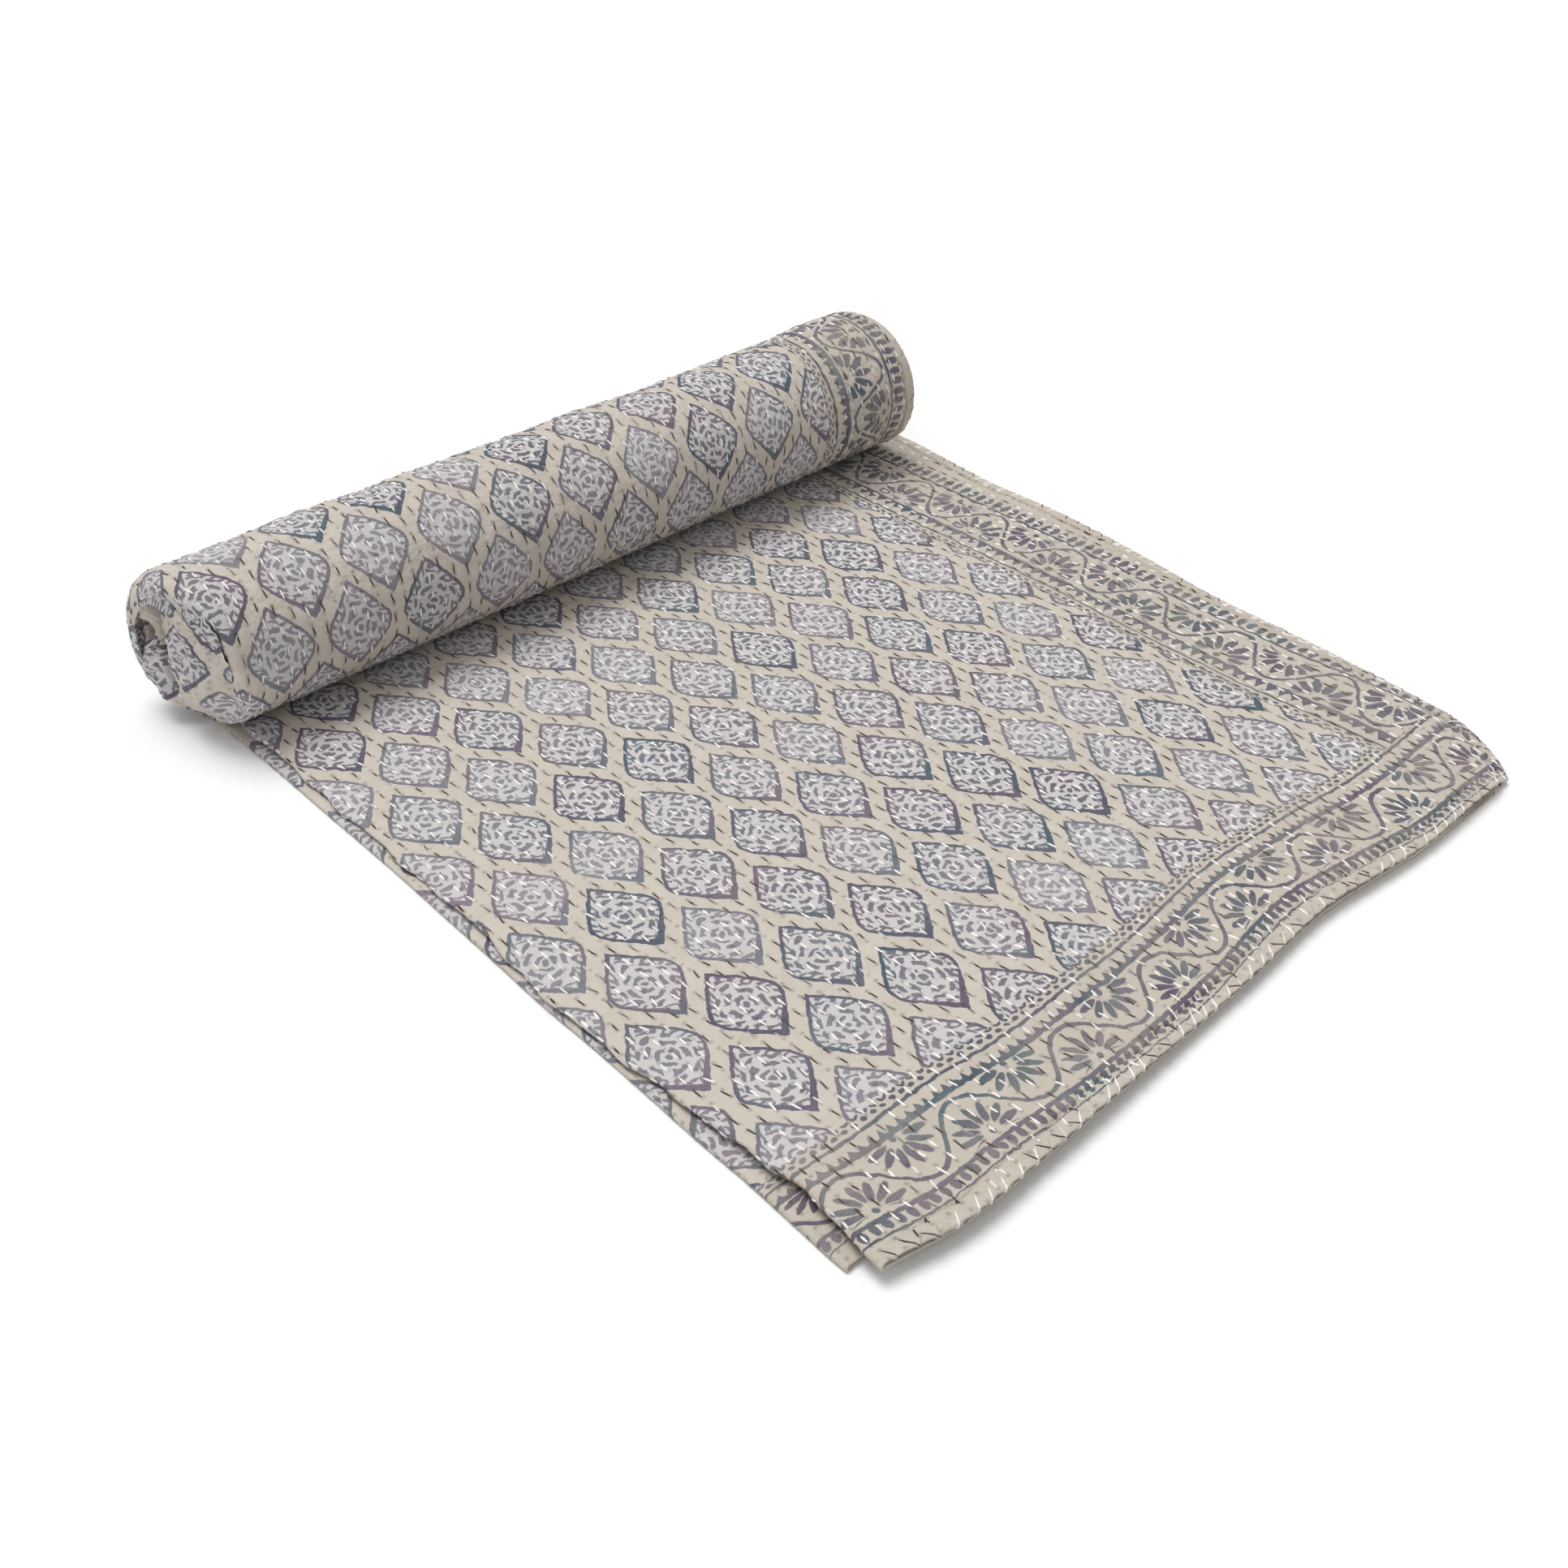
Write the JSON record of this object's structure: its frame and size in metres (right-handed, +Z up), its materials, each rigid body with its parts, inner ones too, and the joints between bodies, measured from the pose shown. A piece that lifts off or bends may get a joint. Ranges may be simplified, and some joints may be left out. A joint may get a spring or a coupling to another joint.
{
  "type": "kantha quilt, folded lengthways and half rolled up",
  "caption": "Block-printed cotton kantha quilt, folded back and forth lengthways, with its far half rolled up on top of the flat near half.",
  "frame": {"origin": "middle of the footprint, on the surface that the quilt lies on", "axes": "+X across the folded width, from the folds to the hems; +Y along the length, from the front hem to the roll; +Z up"},
  "size_m": [0.608, 0.5946, 0.1026],
  "materials": {
    "printed_cotton": "matt stitched cotton, printed in slate blue and mauve"
  },
  "bodies": {
    "root": {"quilt": "printed_cotton"}
  },
  "joints": []
}
